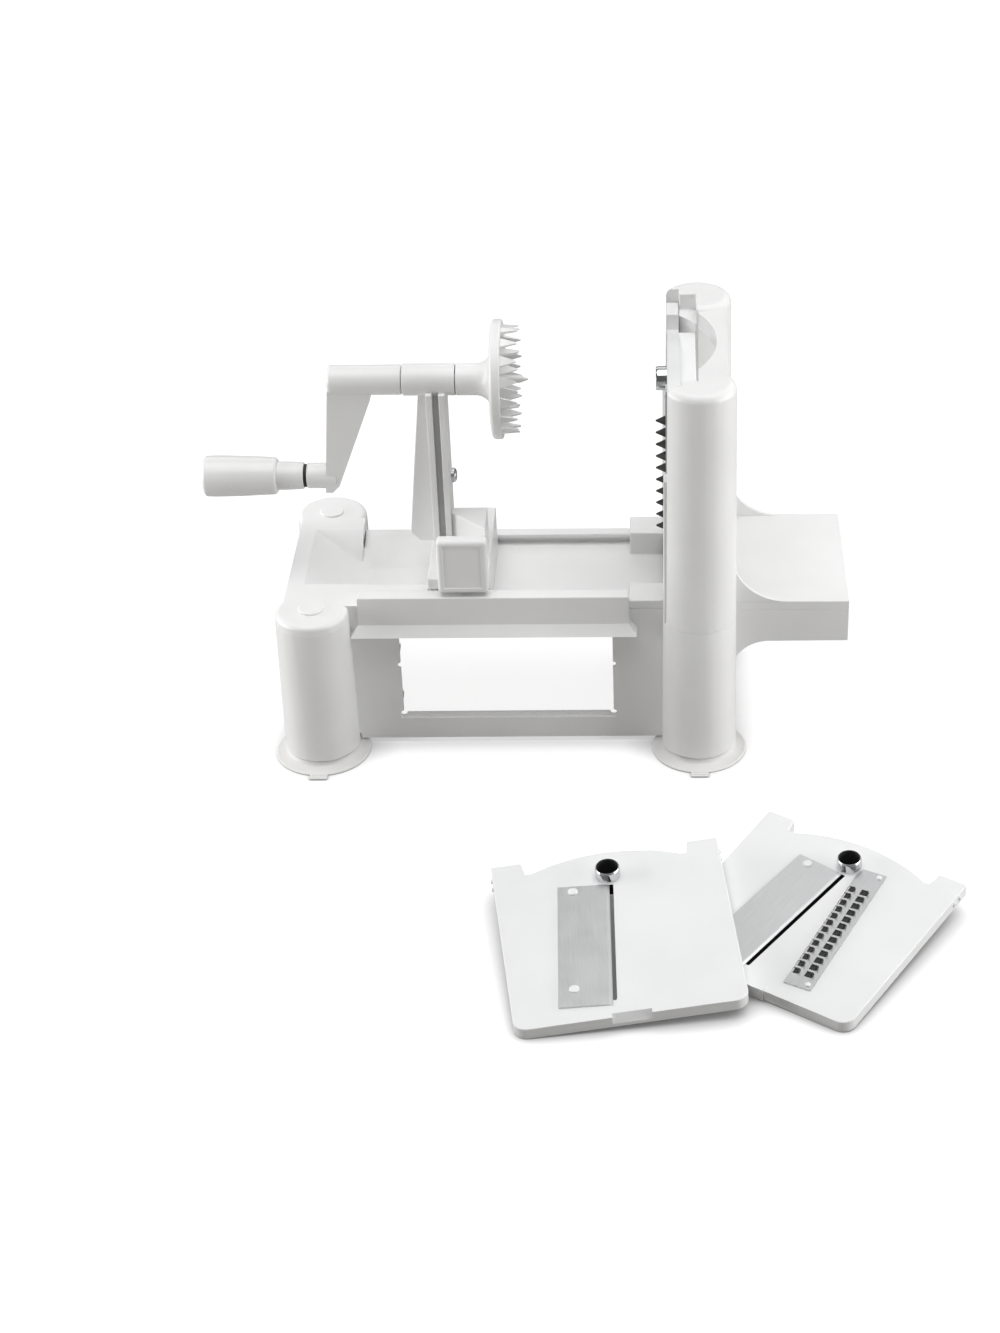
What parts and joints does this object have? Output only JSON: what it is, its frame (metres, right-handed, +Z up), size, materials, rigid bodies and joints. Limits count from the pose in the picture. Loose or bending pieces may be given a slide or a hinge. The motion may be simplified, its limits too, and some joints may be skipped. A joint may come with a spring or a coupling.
{
  "type": "spiralizer with crank",
  "caption": "White hand cranked vegetable spiralizer with a sliding crank carriage, a spiked disc, a mounted blade plate and spare blade plates",
  "frame": {"origin": "On the table plane that the feet and the spare plates rest on, below the middle of the whole part's box", "axes": "+X from the crank towards the blade plate and the side tray, +Y from the user's side to the rear, +Z up"},
  "size_m": [0.4152, 0.3944, 0.2415],
  "materials": {
    "white_plastic": "satin injection moulded ABS",
    "plate_plastic": "satin injection moulded ABS",
    "grip_plastic": "polished injection moulded ABS",
    "foot_rubber": "soft pale rubber",
    "blade_steel": "fine brushed stainless steel",
    "ring_steel": "polished stainless tube",
    "fastener_steel": "plain stainless steel"
  },
  "bodies": {
    "base": {"lower_frame": "white_plastic", "deck": "white_plastic", "blade_tower": "white_plastic", "tray_shell": "white_plastic", "tray_top": "white_plastic", "near_post_cap": "white_plastic", "rear_post_cap": "white_plastic", "near_left_foot": "foot_rubber", "rear_left_foot": "foot_rubber", "near_right_foot": "foot_rubber", "rear_right_foot": "foot_rubber", "frame_screws": "fastener_steel"},
    "carriage": {"carriage_sled": "white_plastic", "carriage_gusset": "white_plastic", "push_handle": "white_plastic", "carriage_upright": "white_plastic", "upright_screw": "fastener_steel"},
    "crank": {"crank_arm": "white_plastic", "hub_cap": "white_plastic", "hub_screw": "fastener_steel", "spindle": "white_plastic", "spiked_disc": "white_plastic", "grip_pin": "fastener_steel"},
    "grip": {"grip_sleeve": "grip_plastic", "grip_collar": "grip_plastic", "grip_end_cap": "grip_plastic"},
    "chipper": {"chipper_plate": "plate_plastic", "chipper_blade": "blade_steel", "chipper_strip": "blade_steel", "chipper_coring_ring": "ring_steel", "chipper_rivets": "plate_plastic", "chipper_strip_rivets": "plate_plastic"},
    "slicer": {"slicer_plate": "plate_plastic", "slicer_blade": "blade_steel", "slicer_coring_ring": "ring_steel", "slicer_rivets": "plate_plastic"},
    "shredder": {"shredder_plate": "plate_plastic", "shredder_blade": "blade_steel", "shredder_strip": "blade_steel", "shredder_coring_ring": "ring_steel", "shredder_rivets": "plate_plastic", "shredder_strip_rivets": "plate_plastic"}
  },
  "joints": [
    {"name": "carriage_slide", "type": "slide", "parent": "base", "child": "carriage", "axis": [1, 0, 0], "range_m": [0, 0.072]},
    {"name": "crank_turn", "type": "hinge", "parent": "carriage", "child": "crank", "pos_m": [-0.07859, 0.11092, 0.2085], "axis": [1, 0, 0], "continuous": true},
    {"name": "grip_turn", "type": "hinge", "parent": "crank", "child": "grip", "pos_m": [-0.18859, 0.11092, 0.149], "axis": [1, 0, 0], "continuous": true},
    {"name": "chipper_lift", "type": "slide", "parent": "base", "child": "chipper", "axis": [0, 0, 1], "range_m": [0, 0.12]},
    {"name": "shredder_lift", "type": "slide", "parent": "base", "child": "shredder", "axis": [0, 0, 1], "range_m": [0, 0.05]},
    {"name": "slicer_lift", "type": "slide", "parent": "shredder", "child": "slicer", "axis": [0, 0, 1], "range_m": [0, 0.05]}
  ]
}
